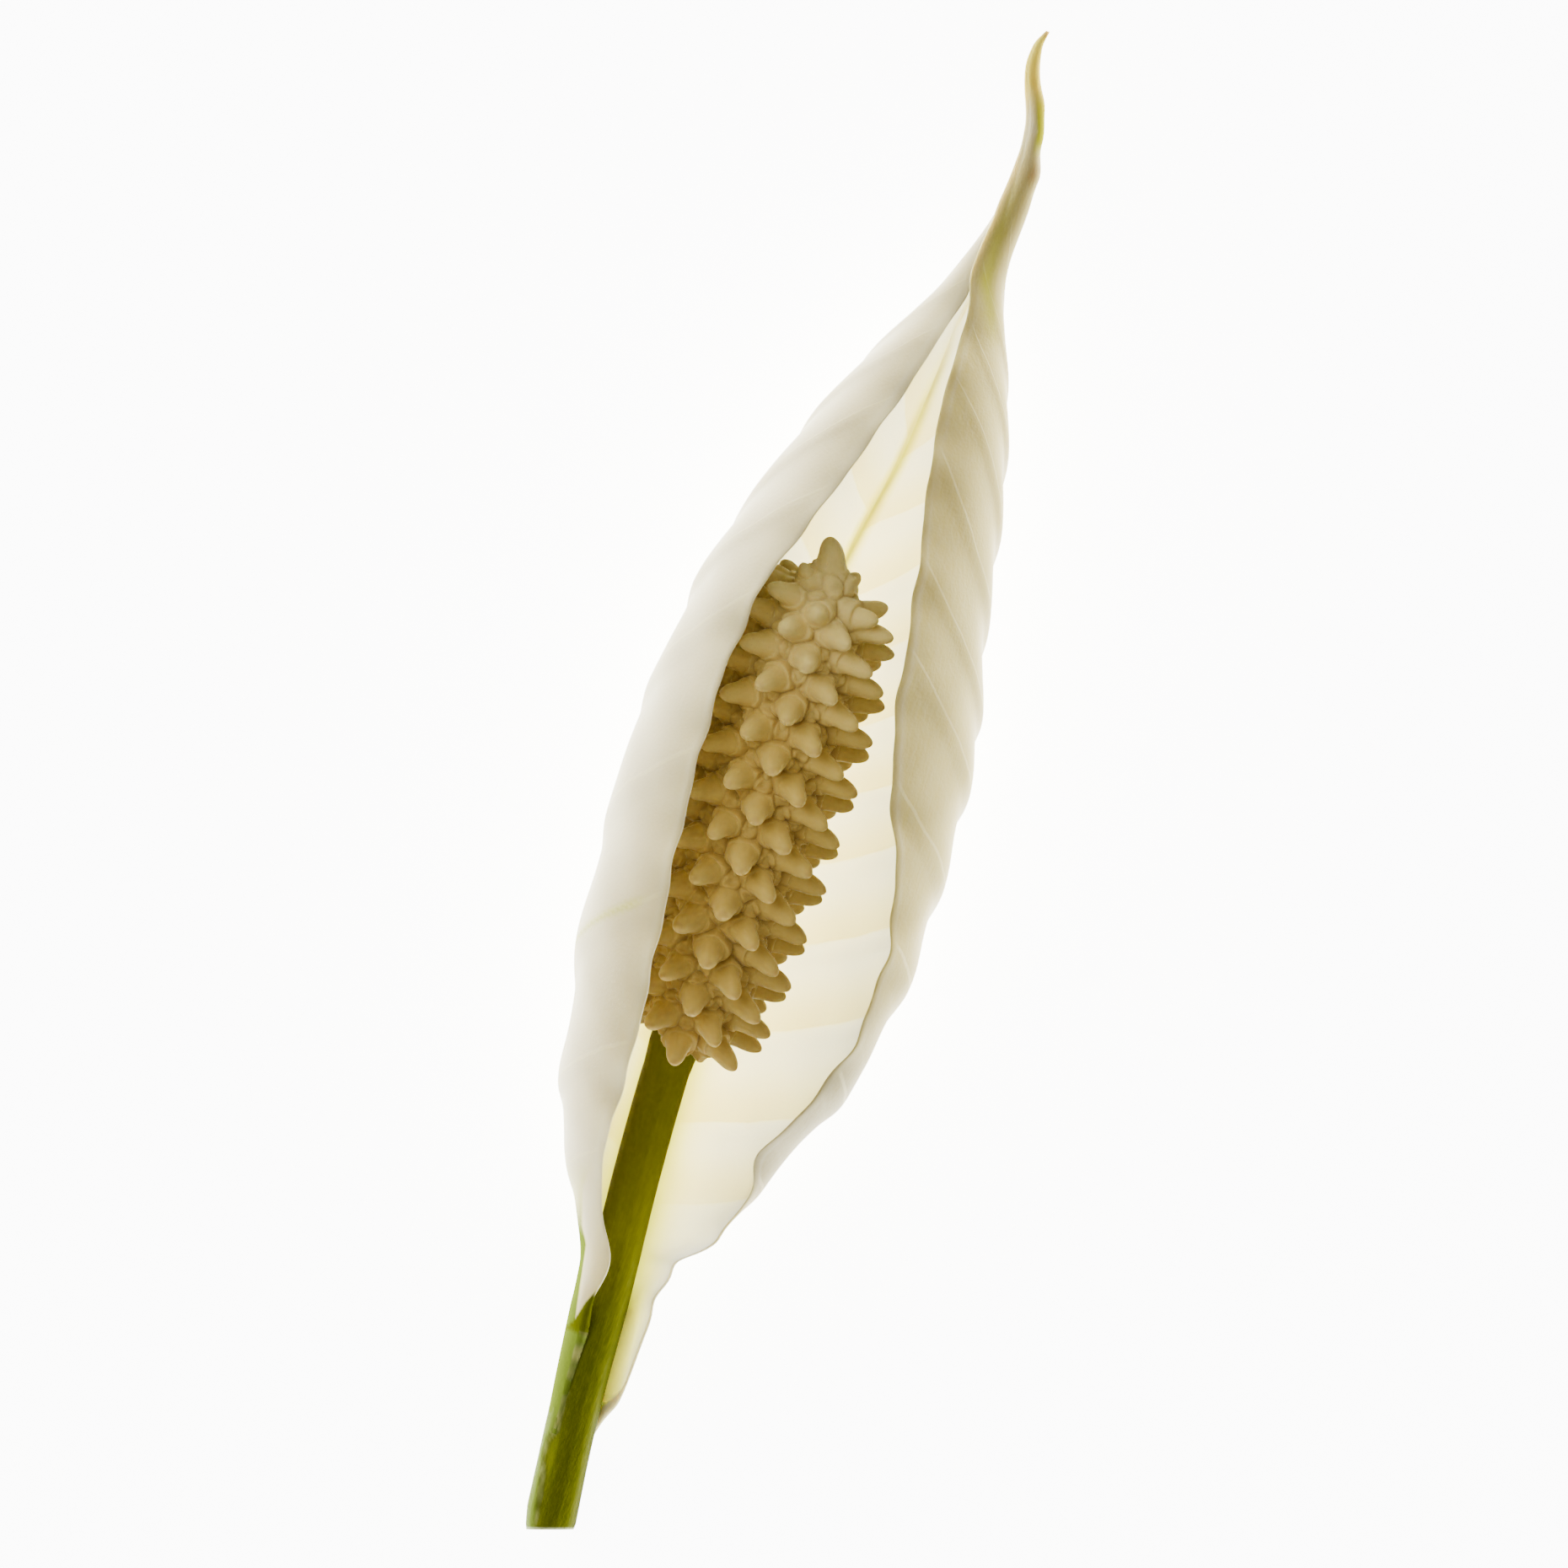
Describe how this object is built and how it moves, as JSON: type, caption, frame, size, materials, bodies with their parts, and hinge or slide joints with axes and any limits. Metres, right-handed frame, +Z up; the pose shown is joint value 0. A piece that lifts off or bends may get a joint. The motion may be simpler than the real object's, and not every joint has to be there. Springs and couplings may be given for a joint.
{
  "type": "cut peace lily flower",
  "caption": "Cut flower lying on its back: a white hooded spathe wrapped round a spadix of packed blunt florets, on a short green stem.",
  "frame": {"origin": "middle of the footprint, on the surface that the flower lies on", "axes": "+Y from the cut end of the stem to the tip of the spathe, +Z up out of the open front, +X to the right of someone who looks down into it with the tip away from them"},
  "size_m": [0.0304, 0.145, 0.0236],
  "materials": {
    "stem_green": "smooth, slightly waxy green stem with fine lengthwise streaks",
    "spathe_white": "soft satin white petal, thin and translucent, yellow-green at the veins and the tip",
    "floret_cream": "matte waxy cream-yellow, browner in the seams"
  },
  "bodies": {
    "root": {"flower_stem": "stem_green", "spathe": "spathe_white", "floret_ring_01": "floret_cream", "floret_ring_02": "floret_cream", "floret_ring_03": "floret_cream", "floret_ring_04": "floret_cream", "floret_ring_05": "floret_cream", "floret_ring_06": "floret_cream", "floret_ring_07": "floret_cream", "floret_ring_08": "floret_cream", "floret_crown": "floret_cream"}
  },
  "joints": []
}
